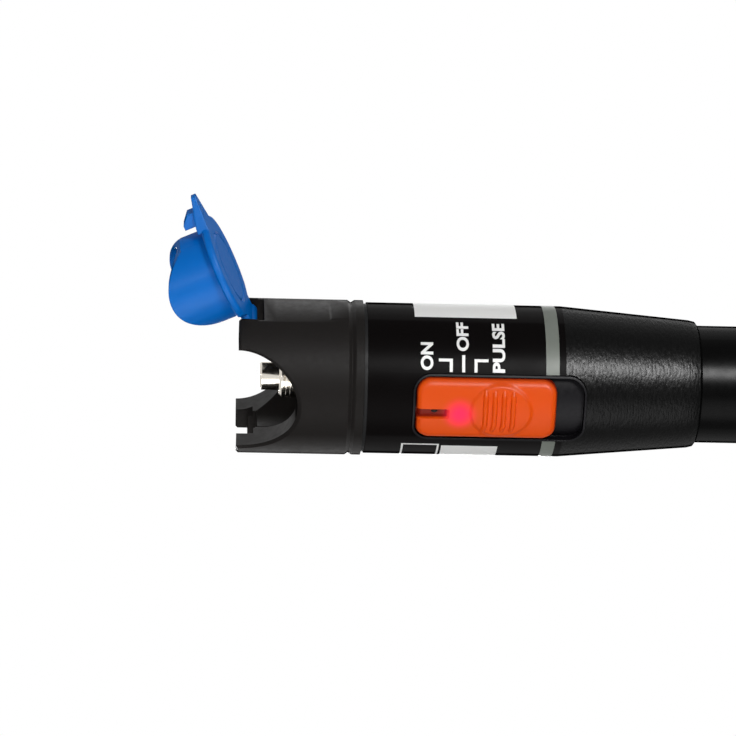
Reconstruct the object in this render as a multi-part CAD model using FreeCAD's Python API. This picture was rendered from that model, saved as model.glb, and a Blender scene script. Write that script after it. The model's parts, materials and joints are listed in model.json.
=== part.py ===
import FreeCAD, Part
import math
import os

# Visual fault locator: a pen-shaped tester that sends red laser light into an optical fibre.
# It stands on its flat tail face. The origin is the centre of that face, +Z runs along the
# pen towards the mouth, the flip cap's hinge is on +X, and the head's scallops face -Y and +Y.
# All lengths are millimetres. "depth" values are measured from the front rim towards the tail.

# Head
HEAD_R = 13.0
HEAD_LEN = 20.8
RIM_CHAMFER = 0.35
MOUTH_R = 9.8
MOUTH_DEPTH = 2.85
BORE_R = 8.7
PARTITION_DEPTH = 12.8
PARTITION_THICK = 2.4
REAR_CAVITY_R = 10.6
SPIGOT_LEN = 5.0
SCALLOP_HALF_W = 8.7
SCALLOP_DEPTH = 9.9
LIP_BEVEL = 0.6
GROOVE_DEPTH_POS = 18.2
GROOVE_W = 1.2
GROOVE_CUT = 0.4
HINGE_SLOT_W = 8.6
HINGE_SLOT_DEPTH = 4.2
FLAT_END = 14.9
FLAT_RUNOUT = 2.3
FLAT_CUT_FRONT = 0.93
FLAT_CUT_REAR = 0.72
TAB_NOTCH_W = 9.4
TAB_NOTCH_DEPTH = 2.0
TAB_WELL_W = 6.6
TAB_WELL_DEPTH = 3.55

# Flip cap and its pin
PIVOT_R = 10.23
PIVOT_DEPTH = 2.0
PIN_R = 0.5
PIN_LEN = 11.6
PIN_SEAT_GAP = 0.02
PIN_RUN_GAP = 0.05
KNUCKLE_R = 1.1
KNUCKLE_LEN = 8.0
OPEN_ANGLE = 155.0
FLANGE_R = 9.25
FLANGE_THICK = 1.3
FLANGE_BEVEL = 0.3
HINGE_FLAT_X = 7.5
HINGE_FLAT_END_X = 5.9
HINGE_FLAT_END_Y = 7.3
FACE_RING_R = 6.0
FACE_RING_W = 0.7
FACE_RING_CUT = 0.35
CUP_R = 7.7
CUP_WALL = 1.2
CUP_SHIFT = 0.35
LOBE_LEN = 9.0
LOBE_HALF_W = 7.9
TONGUE_R = 7.4
TONGUE_LEN = 4.5
TONGUE_W = 5.4
TAB_REACH = 13.95
TAB_BASE_R = 8.4
TAB_BASE_HALF_W = 3.1
TAB_TIP_HALF_W = 0.65
TAB_TIP_THICK = 0.8
TAB_ROOT_R = 9.3
TAB_ROOT_THICK = 1.9
HOOK_IN_R = 9.2
HOOK_OUT_R = 11.6
HOOK_W = 2.4
HOOK_LEN = 2.55
HOOK_LEAD_LEN = 1.25
HOOK_LAND = 0.8
HOOK_GAP = 0.35

# Fibre port and laser module
FERRULE_R = 1.25
SLEEVE_WALL = 0.35
SLEEVE_LEN = 7.0
SLEEVE_SLIT = 0.5
NOSE_DEPTH = 3.7
NOSE_R = 2.4
NOSE_LIP = 0.5
NOSE_LIP_R = 1.45
NOSE_CHAMFER = 0.4
COLLET_DEPTH = 7.0
COLLET_R = 3.7
COLLET_PITCH = 0.7
COLLET_GROOVE = 0.22
COLLET_GROOVES = 2
FLANGE_SEAT_R = 5.4
FLANGE_SEAT_LEN = 2.0
THREAD_R = 4.0
THREAD_GAP = 0.05
THREAD_TAIL = 6.4
NUT_R = 6.2
NUT_LEN = 1.9
STUB_GAP = 0.02
STUB_TAIL = 1.2
LASER_R = 5.0
LASER_LEN = 12.6
LASER_BORE_R = 3.4
LASER_LAP = 1.8
LENS_R = 3.3
LENS_REAR_R = 2.9
LENS_THICK = 2.2
DIODE_R = 2.8
DIODE_FLANGE_R = 3.35
DIODE_FLANGE_LEN = 1.2
DIODE_LEN = 3.6
DIODE_PIN_R = 0.225
DIODE_PIN_LEN = 4.2
DIODE_PIN_SPREAD = 1.27

# Body
SEAM_LEN = 0.6
TUBE_R = 12.45
TUBE_WALL = 0.9
FIT_GAP = 0.05
LABEL_R = 12.675
LABEL_LEN = 32.7

# Slide switch, built facing -Y and then turned about the pen's axis
SWITCH_TURN = 1.5
TRAY_CLEAR = 2.08
TRAY_LEN = 28.74
TRAY_W = 11.8
TRAY_CORNER = 3.0
TRAY_RIM_W = 0.35
TRAY_RIM_R = 12.95
TRAY_FLOOR_R = 11.45
TRAY_FLOOR_THICK = 0.8
TRAY_LUG_W = 14.6
TRAY_LUG_LEN = 20.4
TRAY_LUG_REACH = 1.0
BUTTON_LEN = 23.3
BUTTON_SIDE_GAP = 0.14
BUTTON_CORNER = 2.45
BUTTON_R = 13.35
BUTTON_UNDER_R = 11.8
BUTTON_BEVEL = 0.6
BUTTON_FRONT_GAP = 0.2
STEP = 2.05
STEPS = 2
PAD_LEN = 10.8
PAD_W = 9.8
PAD_POS = 14.0
PAD_RISE = 0.35
PAD_BEVEL = 0.3
RIB_COUNT = 4
RIB_PITCH = 1.52
RIB_W = 0.75
RIB_RISE = 0.45
RIB_LEN = 7.8
LIGHT_SLOT_LEN = 5.4
LIGHT_SLOT_W = 1.5
LIGHT_SLOT_CUT = 1.0
LIGHT_HOLE_R = 0.45
LIGHT_HOLE_POS = 2.7
STEM_POS = 13.8
STEM_HALF_W = 1.5
STEM_HALF_LEN = 1.7
STEM_END_Y = 5.6
LEVER_HALF = 0.75
LEVER_GAP = 0.05
LEVER_REACH = 1.3
LEVER_FOOT_HALF_W = 1.5
LEVER_FOOT_HALF_LEN = 1.6
LEVER_FOOT_THICK = 0.8
BLOCK_HALF_W = 2.5
BLOCK_HALF_LEN = 4.9
BLOCK_TOP_Y = 4.8
BLOCK_WALL = 0.55
LED_POS = 8.2
LED_R = 1.5
LED_TOP_Y = 10.3
LED_BODY_LEN = 4.4
LED_LEG_R = 0.25
LED_LEG_SPREAD = 1.27

# Electronics
BOARD_HALF_W = 8.6
BOARD_THICK = 1.0
BOARD_END_GAP = 0.3
BOARD_FRONT_GAP = 1.0
CARRIER_R = 11.45
CARRIER_RAIL_IN = 7.9
CARRIER_RING_LEN = 3.0
CARRIER_LEN = 20.0
CARRIER_FRONT_DEPTH = 28.6
CHIP_W = 3.9
CHIP_LEN = 4.9
CHIP_H = 1.5
CHIP_POS = 12.0
RESISTOR_W = 1.25
RESISTOR_LEN = 2.0
RESISTOR_H = 0.6
RESISTOR_COUNT = 5
RESISTOR_PITCH = 3.2
CAPACITOR_R = 2.0
CAPACITOR_H = 4.5
CAPACITOR_POS = 21.5
CLIP_THICK = 0.3
CLIP_W = 2.4

# Collar and battery barrel
COLLAR_END_R = 10.775
COLLAR_LEN = 21.8
COLLAR_NECK_LEN = 1.3
COLLAR_LIP = 0.15
NECK_STEPS = 2
COLLAR_BORE_R = 9.3
COLLAR_SPIGOT_LEN = 4.0
BARREL_R = 9.875
BARREL_BORE_R = 7.7
BARREL_LAP = 14.4
BARREL_FIT_GAP = 0.025
NECK_R = 9.1
NECK_LEN = 14.0
SEAL_W = 0.84
SEAL_GROOVE_R = 8.3
SEAL_GROOVE_W = 1.2
SEAL_POS = 2.6

# Cells and contacts
CELL_R = 7.15
CELL_LEN = 50.2
CELL_COUNT = 2
CELL_NUB_R = 2.75
CELL_NUB_LEN = 1.2
CONTACT_HEAD_R = 3.2
CONTACT_HEAD_LEN = 0.5
CONTACT_PLAY = 0.05
CONTACT_SHANK_R = 1.45
CONTACT_TAB_W = 3.0
CONTACT_TAB_THICK = 0.4
CONTACT_TAB_LEN = 4.2
INSULATOR_THICK = 2.2

# Tail cap
TAIL_LEN = 24.0
TAIL_FLOOR = 2.6
TAIL_BORE_R = 9.2
TAIL_CHAMFER = 0.9
TAIL_SEAM = 0.15
PLATE_R = 7.4
PLATE_THICK = 0.5
SPRING_WIRE_R = 0.45
SPRING_BASE_R = 5.6
SPRING_TOP_R = 3.2
SPRING_LEN = 8.05
SPRING_HALF_TURNS = 5

# Places along the pen, from the tail up
BARREL_END_Z = TAIL_LEN + TAIL_SEAM - NECK_LEN
CELL_START_Z = TAIL_FLOOR + PLATE_THICK + SPRING_LEN + FIT_GAP
CELLS_END_Z = CELL_START_Z + CELL_COUNT * (CELL_LEN + FIT_GAP) - FIT_GAP
BARREL_FRONT_Z = CELLS_END_Z + CONTACT_PLAY + CONTACT_HEAD_LEN - FIT_GAP
COLLAR_END_Z = BARREL_FRONT_Z - BARREL_LAP
COLLAR_FRONT_Z = COLLAR_END_Z + COLLAR_NECK_LEN + COLLAR_LEN
LABEL_FRONT_Z = COLLAR_FRONT_Z + LABEL_LEN
HEAD_BACK_Z = LABEL_FRONT_Z + SEAM_LEN
RIM_Z = HEAD_BACK_Z + HEAD_LEN
TRAY_FRONT_DEPTH = HEAD_LEN + SPIGOT_LEN + TRAY_CLEAR + TRAY_LUG_REACH
TUBE_IN_R = TUBE_R - TUBE_WALL
TRAVEL = STEP * STEPS
FAR = 40.0

V = FreeCAD.Vector
AXIS = V(0, 0, 1)
ORIGIN = V(0, 0, 0)


def at_depth(depth):
    """Height above the tail of a place that lies this far behind the front rim."""
    return RIM_Z - depth


def box(x, y, z):
    """Box between the two values of each pair."""
    corner = V(min(x), min(y), min(z))
    return Part.makeBox(abs(x[1] - x[0]), abs(y[1] - y[0]), abs(z[1] - z[0]), corner)


def rod(radius, z_low, z_high, x=0.0, y=0.0):
    return Part.makeCylinder(radius, z_high - z_low, V(x, y, z_low))


def ring(r_in, r_out, z_low, z_high):
    return rod(r_out, z_low, z_high).cut(rod(r_in, z_low - 1, z_high + 1))


def shell(r_in, r_out):
    """Tube about the pen's axis, longer than the pen at both ends."""
    return ring(r_in, r_out, -FAR, RIM_Z + FAR)


def turned(points):
    """Solid of revolution about the pen's axis from its half section of (radius, z) points."""
    corners = [V(r, 0, z) for r, z in points]
    outline = Part.makePolygon(corners + corners[:1])
    return Part.Face(outline).revolve(ORIGIN, AXIS, 360)


def quarter_round(radius, z, inward, down, steps=4):
    """Profile points of a rounded corner that starts at (radius, z) and turns in and down."""
    spots = []
    for k in range(steps + 1):
        angle = math.radians(90 * k / steps)
        spots.append((radius - inward * (1 - math.cos(angle)), z - down * math.sin(angle)))
    return spots


def slab(points, y_low, y_high):
    """Prism along Y from an outline of (x, z) points."""
    corners = [V(x, y_low, z) for x, z in points]
    outline = Part.makePolygon(corners + corners[:1])
    return Part.Face(outline).extrude(V(0, y_high - y_low, 0))


def arch_prism(half_w, depth, top_z, y_low, y_high):
    """Prism along Y that hangs below top_z: two side arcs that run into a crown arc."""
    crown = half_w ** 2 / depth
    drop = depth - crown
    side = (half_w ** 2 + drop ** 2 - crown ** 2) / (2 * (half_w - crown))
    lean = math.atan2(drop, side - half_w)

    def arc(centre_x, centre_z, radius, start, end):
        spots = [V(centre_x + radius * math.cos(a), y_low, centre_z - radius * math.sin(a))
                 for a in (start, (start + end) / 2, end)]
        return Part.Arc(*spots).toShape()

    arcs = [arc(half_w - side, top_z, side, 0, lean), arc(0, top_z - drop, crown, lean, math.pi - lean),
            arc(side - half_w, top_z, side, math.pi - lean, math.pi)]
    rise = [V(-half_w, y_low, top_z), V(-half_w, y_low, top_z + 1), V(half_w, y_low, top_z + 1),
            V(half_w, y_low, top_z)]
    lines = [Part.makeLine(a, b) for a, b in zip(rise, rise[1:])]
    return Part.Face(Part.Wire(arcs + lines)).extrude(V(0, y_high - y_low, 0))


def plan_prism(width, z_low, z_high, corner):
    """Rounded rectangle in the XZ plane, cut radially through the -Y side of the pen."""
    block = box((-width / 2, width / 2), (-FAR, 0), (z_low, z_high))
    upright = [e for e in block.Edges if abs(e.tangentAt(e.FirstParameter).y) > 0.99]
    return block.makeFillet(corner, upright)


def edges_near(shape, test):
    """Edges whose ends and middle all pass the test, which gets a point."""
    found = []
    for edge in shape.Edges:
        low, high = edge.FirstParameter, edge.LastParameter
        spots = [edge.valueAt(low + (high - low) * k / 4) for k in range(5)]
        if all(test(p) for p in spots):
            found.append(edge)
    return found


def radius_of(point):
    return math.hypot(point.x, point.y)


def spun(shape, degrees):
    """Copy turned about the pen's axis."""
    copy = shape.copy()
    copy.rotate(ORIGIN, AXIS, degrees)
    return copy


def at_switch(shape):
    """Copy moved from the -Y side to the switch's side of the pen."""
    return spun(shape, SWITCH_TURN)


# Head and flip cap

def scallop_cutter():
    return arch_prism(SCALLOP_HALF_W, SCALLOP_DEPTH, RIM_Z, -FAR, FAR)


def head_blank():
    """Turned outside and inside of the head, before its side openings."""
    groove_top = at_depth(GROOVE_DEPTH_POS)
    floor_top = at_depth(PARTITION_DEPTH)
    floor_low = at_depth(PARTITION_DEPTH + PARTITION_THICK)
    spigot_r = TUBE_IN_R - FIT_GAP
    return turned([
        (MOUTH_R, RIM_Z), (HEAD_R - RIM_CHAMFER, RIM_Z), (HEAD_R, RIM_Z - RIM_CHAMFER),
        (HEAD_R, groove_top), (HEAD_R - GROOVE_CUT, groove_top - GROOVE_W / 2), (HEAD_R, groove_top - GROOVE_W),
        (HEAD_R, HEAD_BACK_Z), (spigot_r, HEAD_BACK_Z), (spigot_r, HEAD_BACK_Z - SPIGOT_LEN),
        (REAR_CAVITY_R, HEAD_BACK_Z - SPIGOT_LEN), (REAR_CAVITY_R, floor_low),
        (THREAD_R + THREAD_GAP, floor_low), (THREAD_R + THREAD_GAP, floor_top),
        (BORE_R, floor_top), (BORE_R, at_depth(MOUTH_DEPTH)), (MOUTH_R, at_depth(MOUTH_DEPTH)),
    ])


def flat_cutter():
    """Shallow flat behind the hinge slot, a little deeper at its front, that runs out at its rear."""
    front = at_depth(HINGE_SLOT_DEPTH - 1)
    rear = at_depth(FLAT_END)
    end = rear - FLAT_RUNOUT
    return slab([
        (HEAD_R - FLAT_CUT_FRONT, front), (HEAD_R - FLAT_CUT_REAR, rear),
        (HEAD_R, end), (HEAD_R + 2, end), (HEAD_R + 2, front),
    ], -HINGE_SLOT_W, HINGE_SLOT_W)


def head_shell():
    body = head_blank().cut(scallop_cutter())

    def on_lip(p):
        outside = abs(radius_of(p) - HEAD_R) < 0.01
        span = 1 - (p.x / SCALLOP_HALF_W) ** 2
        height = RIM_Z - SCALLOP_DEPTH * math.sqrt(max(span, 0))
        return outside and p.z < RIM_Z and abs(p.z - height) < 0.3

    body = body.makeChamfer(LIP_BEVEL, edges_near(body, on_lip))
    slot_half = HINGE_SLOT_W / 2
    body = body.cut(box((MOUTH_R - 2, FAR), (-slot_half, slot_half), (at_depth(HINGE_SLOT_DEPTH), RIM_Z + 1)))
    body = body.cut(flat_cutter())
    notch = TAB_NOTCH_W / 2
    body = body.cut(box((-FAR, -BORE_R), (-notch, notch), (at_depth(TAB_NOTCH_DEPTH), RIM_Z + 1)))
    well = TAB_WELL_W / 2
    body = body.cut(box((-FAR, -BORE_R + 0.5), (-well, well), (at_depth(TAB_WELL_DEPTH), RIM_Z + 1)))
    hook_low = at_depth(PIVOT_DEPTH + FLANGE_THICK / 2 + HOOK_LEN + HOOK_GAP)
    hook_half = HOOK_W / 2 + HOOK_GAP
    pocket = box((-HOOK_OUT_R - HOOK_GAP, -HOOK_IN_R + HOOK_GAP), (-hook_half, hook_half), (hook_low, RIM_Z))
    body = body.cut(pocket)
    pin_hole = PIN_R + PIN_SEAT_GAP
    return body.cut(pivot_rod(pin_hole, PIN_LEN + PIN_SEAT_GAP))


def pivot_rod(radius, length):
    """Cylinder on the cap's hinge axis, centred on the pen."""
    start = V(PIVOT_R, -length / 2, at_depth(PIVOT_DEPTH))
    return Part.makeCylinder(radius, length, start, V(0, 1, 0))


def hinge_pin():
    return pivot_rod(PIN_R, PIN_LEN)


def cap_flange(inner, outer):
    """Disc of the closed cap with its ring groove, and a flat each side of the knuckle to clear the mouth."""
    disc = turned([
        (0, inner), (FLANGE_R - FLANGE_BEVEL, inner), (FLANGE_R, inner + FLANGE_BEVEL),
        (FLANGE_R, outer - FLANGE_BEVEL), (FLANGE_R - FLANGE_BEVEL, outer), (FACE_RING_R + FACE_RING_W / 2, outer),
        (FACE_RING_R, outer - FACE_RING_CUT), (FACE_RING_R - FACE_RING_W / 2, outer), (0, outer),
    ])
    half = KNUCKLE_LEN / 2
    for side in (-1, 1):
        corners = [V(x, side * y, inner - 1) for x, y in (
            (HINGE_FLAT_X, half), (HINGE_FLAT_END_X, HINGE_FLAT_END_Y), (FAR, HINGE_FLAT_END_Y),
            (FAR, half), (HINGE_FLAT_X, half))]
        disc = disc.cut(Part.Face(Part.makePolygon(corners)).extrude(V(0, 0, FLANGE_THICK + 2)))
    return disc


def cap_cup(inner):
    """Two-lobed cup below the flange and the short tongue on the tab's side."""
    wall = ring(CUP_R - CUP_WALL, CUP_R, inner - LOBE_LEN - 1, inner + 0.1)
    wall.translate(V(CUP_SHIFT, 0, 0))
    lobes = wall.common(arch_prism(LOBE_HALF_W, LOBE_LEN, inner, -FAR, FAR))
    tongue = ring(TONGUE_R - CUP_WALL, TONGUE_R, inner - TONGUE_LEN, inner + 0.1)
    half = TONGUE_W / 2
    tongue = tongue.common(box((-FAR, 0), (-half, half), (inner - TONGUE_LEN, inner + 0.1)))
    return lobes, tongue


def cap_tab(outer):
    """Pointed thumb tab, flush with the flange outside and thicker towards its root inside."""
    low = outer - TAB_ROOT_THICK
    plan = [V(-TAB_BASE_R, -TAB_BASE_HALF_W, low), V(-TAB_REACH, -TAB_TIP_HALF_W, low),
            V(-TAB_REACH, TAB_TIP_HALF_W, low), V(-TAB_BASE_R, TAB_BASE_HALF_W, low)]
    tab = Part.Face(Part.makePolygon(plan + plan[:1])).extrude(V(0, 0, TAB_ROOT_THICK))
    return tab.cut(slab([(-TAB_ROOT_R, low), (-TAB_REACH, outer - TAB_TIP_THICK), (-TAB_REACH - 1, low),
                         (-TAB_REACH - 1, low - 1), (-TAB_ROOT_R, low - 1)], -FAR, FAR))


def cap_hook(inner):
    """Latch hook below the tab, with a slanted lead-in on its outer side."""
    half = HOOK_W / 2
    return slab([(-HOOK_IN_R, inner + 0.1), (-HOOK_IN_R, inner - HOOK_LEN), (-HOOK_IN_R - HOOK_LAND, inner - HOOK_LEN),
                 (-HOOK_OUT_R, inner - HOOK_LEAD_LEN), (-HOOK_OUT_R, inner + 0.1)], -half, half)


def cap_knuckle(inner, outer):
    """Hinge barrel and the short arm that joins it to the flange."""
    half = KNUCKLE_LEN / 2
    barrel = pivot_rod(KNUCKLE_R, KNUCKLE_LEN)
    arm = box((CUP_R, PIVOT_R), (-half, half), (inner, outer))
    return barrel.fuse(arm)


def flip_cap_closed():
    inner = at_depth(PIVOT_DEPTH + FLANGE_THICK / 2)
    outer = inner + FLANGE_THICK
    lobes, tongue = cap_cup(inner)
    cap = cap_flange(inner, outer).multiFuse([lobes, tongue, cap_tab(outer), cap_hook(inner),
                                              cap_knuckle(inner, outer)])
    cap = cap.removeSplitter()
    return cap.cut(pivot_rod(PIN_R + PIN_RUN_GAP, HINGE_SLOT_W * 2))


def flip_cap():
    """The cap is kept open, resting against its stop."""
    cap = flip_cap_closed()
    cap.rotate(V(PIVOT_R, 0, at_depth(PIVOT_DEPTH)), V(0, 1, 0), OPEN_ANGLE)
    return cap


# Fibre port and laser module

def sleeve_top():
    return at_depth(NOSE_DEPTH + NOSE_LIP)


def ferrule_holder():
    """Nose, ringed collet, seat flange and threaded tail, turned in one piece."""
    nose_top = at_depth(NOSE_DEPTH)
    step = at_depth(COLLET_DEPTH)
    seat_low = at_depth(PARTITION_DEPTH)
    seat_top = seat_low + FLANGE_SEAT_LEN
    tail = seat_low - THREAD_TAIL
    sleeve_r = FERRULE_R + SLEEVE_WALL + STUB_GAP
    outline = [(NOSE_LIP_R, nose_top), (NOSE_R - NOSE_CHAMFER, nose_top), (NOSE_R, nose_top - NOSE_CHAMFER),
               (NOSE_R, step), (COLLET_R - NOSE_CHAMFER, step), (COLLET_R, step - NOSE_CHAMFER)]
    for number in range(COLLET_GROOVES):
        middle = step - NOSE_CHAMFER - (number + 0.75) * COLLET_PITCH
        outline += [(COLLET_R, middle + COLLET_GROOVE), (COLLET_R - COLLET_GROOVE, middle),
                    (COLLET_R, middle - COLLET_GROOVE)]
    outline += [
        (COLLET_R, seat_top), (FLANGE_SEAT_R, seat_top), (FLANGE_SEAT_R, seat_low),
        (THREAD_R, seat_low), (THREAD_R, tail), (sleeve_r, tail), (sleeve_r, sleeve_top()),
        (NOSE_LIP_R, sleeve_top()),
    ]
    return turned(outline)


def split_sleeve():
    top = sleeve_top()
    sleeve = ring(FERRULE_R, FERRULE_R + SLEEVE_WALL, top - SLEEVE_LEN, top)
    half = SLEEVE_SLIT / 2
    return sleeve.cut(box((0, FAR), (-half, half), (top - SLEEVE_LEN - 1, top + 1)))


def fibre_stub():
    """Stub that carries the light from the lens to the foot of the sleeve, in the same bore as the sleeve."""
    top = sleeve_top() - SLEEVE_LEN - FIT_GAP
    return rod(FERRULE_R + SLEEVE_WALL, at_depth(PARTITION_DEPTH) - THREAD_TAIL - STUB_TAIL, top)


def holder_nut():
    low = at_depth(PARTITION_DEPTH + PARTITION_THICK) - NUT_LEN
    corners = [V(NUT_R * math.cos(math.radians(60 * k)), NUT_R * math.sin(math.radians(60 * k)), low)
               for k in range(7)]
    nut = Part.Face(Part.makePolygon(corners)).extrude(V(0, 0, NUT_LEN))
    return nut.cut(rod(THREAD_R + THREAD_GAP, low - 1, low + NUT_LEN + 1))


def laser_front_z():
    return at_depth(PARTITION_DEPTH) - THREAD_TAIL + LASER_LAP


def laser_barrel():
    top = laser_front_z()
    low = top - LASER_LEN
    stop = top - LASER_LAP
    return turned([
        (THREAD_R + THREAD_GAP, top), (LASER_R, top), (LASER_R, low), (LASER_BORE_R, low),
        (LASER_BORE_R, stop - STUB_TAIL - SLEEVE_SLIT), (FERRULE_R * 2, stop - STUB_TAIL - SLEEVE_SLIT),
        (FERRULE_R * 2, stop), (THREAD_R + THREAD_GAP, stop),
    ])


def laser_lens():
    """Collimating lens against the step in the laser barrel, with its edge ground to a taper."""
    top = laser_front_z() - LASER_LAP - STUB_TAIL - SLEEVE_SLIT
    return turned([(0, top), (LENS_R, top), (LENS_REAR_R, top - LENS_THICK), (0, top - LENS_THICK)])


def laser_diode():
    """Can, flange and three pins that straddle the circuit board."""
    low = laser_front_z() - LASER_LEN
    can = rod(DIODE_R, low, low + DIODE_LEN)
    flange = rod(DIODE_FLANGE_R, low, low + DIODE_FLANGE_LEN)
    side = BOARD_THICK / 2 + DIODE_PIN_R + STUB_GAP
    diode = can.fuse(flange)
    for x, y in ((-DIODE_PIN_SPREAD, -side), (DIODE_PIN_SPREAD, -side), (0, side)):
        diode = diode.fuse(rod(DIODE_PIN_R, low - DIODE_PIN_LEN, low + DIODE_FLANGE_LEN / 2, x, y))
    return at_switch(diode.removeSplitter())


# Body tube and its printed film

def tray_window(gap):
    """Opening for the switch tray, cut radially through what it passes."""
    low = at_depth(TRAY_FRONT_DEPTH + TRAY_LEN) - gap
    high = at_depth(TRAY_FRONT_DEPTH) + gap
    return at_switch(plan_prism(TRAY_W + 2 * gap, low, high, TRAY_CORNER + gap))


def body_tube():
    return ring(TUBE_IN_R, TUBE_R, COLLAR_FRONT_Z, HEAD_BACK_Z).cut(tray_window(FIT_GAP))


def label_sleeve():
    return ring(TUBE_R, LABEL_R, COLLAR_FRONT_Z, LABEL_FRONT_Z).cut(tray_window(FIT_GAP))


# Slide switch

def switch_tray():
    low = at_depth(TRAY_FRONT_DEPTH + TRAY_LEN)
    high = at_depth(TRAY_FRONT_DEPTH)
    floor_in = TRAY_FLOOR_R - TRAY_FLOOR_THICK
    outer = plan_prism(TRAY_W, low, high, TRAY_CORNER).common(shell(floor_in, TRAY_RIM_R))
    lug_high = high + TRAY_LUG_REACH
    lug = plan_prism(TRAY_LUG_W, lug_high - TRAY_LUG_LEN, lug_high, TRAY_CORNER)
    outer = outer.fuse(lug.common(shell(floor_in, TUBE_IN_R - FIT_GAP)))
    inner_w = TRAY_W - 2 * TRAY_RIM_W
    recess = plan_prism(inner_w, low + TRAY_RIM_W, high - TRAY_RIM_W, TRAY_CORNER - TRAY_RIM_W)
    tray = outer.cut(recess.common(shell(TRAY_FLOOR_R, TRAY_RIM_R + 1)))
    stem_z = button_front_z() - STEM_POS
    reach = STEM_HALF_LEN + BUTTON_SIDE_GAP * 2
    wide = STEM_HALF_W + BUTTON_SIDE_GAP * 2
    tray = tray.cut(box((-wide, wide), (-FAR, 0), (stem_z - reach - TRAVEL, stem_z + reach)))
    lamp = Part.makeCylinder(LED_R + FIT_GAP, FAR, V(0, 0, led_z()), V(0, -1, 0))
    return at_switch(tray.cut(lamp))


def button_front_z():
    return at_depth(TRAY_FRONT_DEPTH + TRAY_RIM_W + BUTTON_FRONT_GAP)


def led_z():
    return button_front_z() - LED_POS


def button_plate():
    """Curved plate that follows the body, with a bevelled edge."""
    front = button_front_z()
    width = TRAY_W - 2 * TRAY_RIM_W - 2 * BUTTON_SIDE_GAP
    plan = plan_prism(width, front - BUTTON_LEN, front, BUTTON_CORNER)
    plate = plan.common(shell(BUTTON_UNDER_R, BUTTON_R))
    top = edges_near(plate, lambda p: abs(radius_of(p) - BUTTON_R) < 0.02)
    return plate.makeChamfer(BUTTON_BEVEL, top)


def thumb_pad():
    """Raised oval with ribs across it."""
    centre = button_front_z() - PAD_POS
    pad = plan_prism(PAD_W, centre - PAD_LEN / 2, centre + PAD_LEN / 2, PAD_W * 0.49)
    top_r = BUTTON_R + PAD_RISE
    pad = pad.common(shell(BUTTON_R - 0.5, top_r))
    crest = edges_near(pad, lambda p: abs(radius_of(p) - top_r) < 0.02)
    pad = pad.makeChamfer(PAD_BEVEL, crest)
    half = RIB_LEN / 2
    for number in range(RIB_COUNT):
        z = centre + (number - (RIB_COUNT - 1) / 2) * RIB_PITCH
        rib = turned([(top_r - 0.4, z - RIB_W / 2), (top_r, z - RIB_W / 2), (top_r + RIB_RISE, z - RIB_W / 6),
                      (top_r + RIB_RISE, z + RIB_W / 6), (top_r, z + RIB_W / 2), (top_r - 0.4, z + RIB_W / 2)])
        pad = pad.fuse(rib.common(box((-half, half), (-FAR, 0), (z - RIB_W, z + RIB_W))))
    return pad


def switch_button():
    front = button_front_z()
    button = button_plate().fuse(thumb_pad())
    slot = plan_prism(LIGHT_SLOT_W, front - LIGHT_SLOT_LEN, front + LIGHT_SLOT_LEN, LIGHT_SLOT_W * 0.49)
    button = button.cut(slot.common(shell(BUTTON_R - LIGHT_SLOT_CUT, BUTTON_R + 1)))
    hole = Part.makeCylinder(LIGHT_HOLE_R, FAR, V(0, 0, front - LIGHT_HOLE_POS), V(0, -1, 0))
    button = button.cut(hole)
    stem_z = front - STEM_POS
    stem = box((-STEM_HALF_W, STEM_HALF_W), (-BUTTON_UNDER_R - 0.3, -STEM_END_Y),
               (stem_z - STEM_HALF_LEN, stem_z + STEM_HALF_LEN))
    pocket = LEVER_HALF + LEVER_GAP
    stem = stem.cut(box((-pocket, pocket), (-STEM_END_Y - LEVER_REACH - LEVER_GAP, 0),
                        (stem_z - pocket, stem_z + pocket)))
    return at_switch(button.fuse(stem).removeSplitter())


def switch_lever():
    """Sliding contact carrier of the switch block, moved by the button's stem."""
    z = button_front_z() - STEM_POS
    top = STEM_END_Y + LEVER_REACH
    foot_top = BLOCK_TOP_Y - BLOCK_WALL - LEVER_GAP
    nub = box((-LEVER_HALF, LEVER_HALF), (-top, -foot_top), (z - LEVER_HALF, z + LEVER_HALF))
    foot = box((-LEVER_FOOT_HALF_W, LEVER_FOOT_HALF_W), (-foot_top, -foot_top + LEVER_FOOT_THICK),
               (z - LEVER_FOOT_HALF_LEN, z + LEVER_FOOT_HALF_LEN))
    return at_switch(nub.fuse(foot).removeSplitter())


def switch_block():
    """Housing of the slide switch, soldered to the board."""
    middle = button_front_z() - STEM_POS - TRAVEL / 2
    base = BOARD_THICK / 2
    block = box((-BLOCK_HALF_W, BLOCK_HALF_W), (-BLOCK_TOP_Y, -base),
                (middle - BLOCK_HALF_LEN, middle + BLOCK_HALF_LEN))
    room = LEVER_FOOT_HALF_LEN + TRAVEL / 2 + LEVER_GAP * 2
    side = LEVER_FOOT_HALF_W + LEVER_GAP * 2
    low_y = BLOCK_TOP_Y - BLOCK_WALL
    block = block.cut(box((-side, side), (-low_y, -base - BLOCK_WALL), (middle - room, middle + room)))
    slot = LEVER_HALF + LEVER_GAP
    reach = LEVER_HALF + TRAVEL / 2 + LEVER_GAP * 2
    block = block.cut(box((-slot, slot), (-FAR, -low_y + 0.1), (middle - reach, middle + reach)))
    return at_switch(block)


def indicator_led():
    """Round lamp on two legs, with its top in the tray's floor."""
    z = led_z()
    led = Part.makeCylinder(LED_R, LED_BODY_LEN, V(0, -LED_TOP_Y, z), V(0, 1, 0))
    for side in (-1, 1):
        leg_z = z + side * LED_LEG_SPREAD / 1.2
        start = V(0, -BOARD_THICK / 2, leg_z)
        leg = Part.makeCylinder(LED_LEG_R, LED_TOP_Y - LED_BODY_LEN, start, V(0, -1, 0))
        led = led.fuse(leg)
    return at_switch(led.removeSplitter())


# Electronics

def board_front_z():
    return laser_front_z() - LASER_LEN - BOARD_FRONT_GAP


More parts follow.
